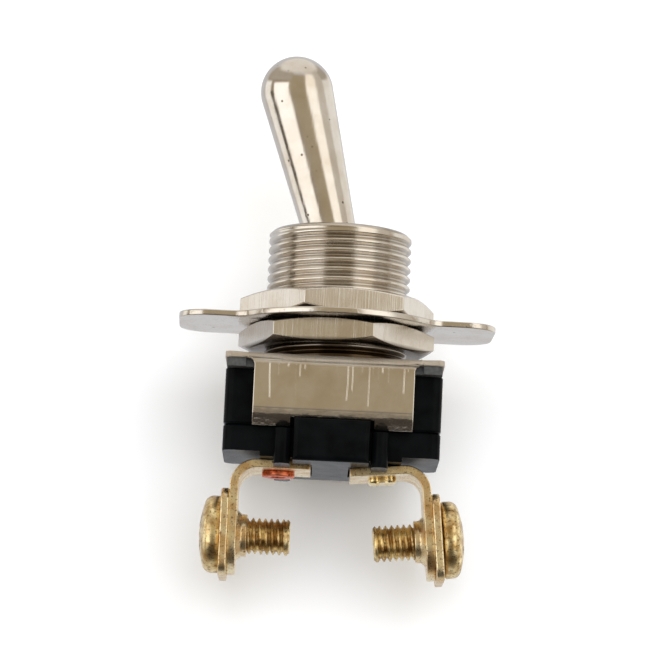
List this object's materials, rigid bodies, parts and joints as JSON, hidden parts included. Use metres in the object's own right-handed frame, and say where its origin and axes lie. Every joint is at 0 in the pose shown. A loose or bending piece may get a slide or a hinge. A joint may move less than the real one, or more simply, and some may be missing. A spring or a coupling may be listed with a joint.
{
  "type": "panel toggle switch",
  "caption": "Panel toggle switch with a bat lever, threaded bushing, hex nuts, indicator plate, folded bracket round a black case and screw terminals below.",
  "frame": {"origin": "on the bushing's axis, in the bracket's top face", "axes": "+Z along the bushing to the lever, X along the lever's swing and through both terminals, -Y the picture's front"},
  "size_m": [0.0264, 0.0182, 0.0442],
  "materials": {
    "nickel": "nickel plate, polished, drawing marks",
    "black_moulding": "glossy thermoset moulding",
    "fibre": "pressed fibre sheet",
    "brass": "stamped, slightly tarnished",
    "copper": "copper rivet",
    "yellow_zinc": "yellow passivated zinc",
    "steel": "drawn",
    "nylon": "turned",
    "silver": "contact face"
  },
  "bodies": {
    "housing": {"bushing": "nickel", "lower_nut": "nickel", "upper_nut": "nickel", "indicator_plate": "nickel", "bracket": "nickel", "insulator": "fibre", "upper_case": "black_moulding", "base": "black_moulding", "cradle": "brass", "terminal_left": "brass", "terminal_right": "brass", "clamp_plate_left": "brass", "clamp_plate_right": "brass", "screw_left": "yellow_zinc", "screw_right": "yellow_zinc", "rivet_left": "copper", "rivet_right": "brass"},
    "lever": {"lever": "nickel", "pivot_pin": "steel", "plunger_spring": "steel"},
    "plunger": {"plunger": "nylon"},
    "rocker": {"rocker": "brass", "moving_contact": "silver"}
  },
  "joints": [
    {"name": "lever_tilt", "type": "hinge", "parent": "housing", "child": "lever", "pos_m": [0, 0, 0.008], "axis": [0, 1, 0], "range_deg": [0, 31.2]},
    {"name": "rocker_tilt", "type": "hinge", "parent": "housing", "child": "rocker", "pos_m": [0, 0, -0.0049], "axis": [0, 1, 0], "range_deg": [-12, 0]},
    {"name": "plunger_slide", "type": "slide", "parent": "lever", "child": "plunger", "axis": [-0.2689, 0, 0.9632], "range_m": [0, 0.0008], "stiffness_N_per_m": 300, "springref_m": -0.002, "deforming": ["plunger_spring"]}
  ],
  "couplings": [
    {"joint": "rocker_tilt", "follows": "lever_tilt", "ratio": -0.38461}
  ]
}
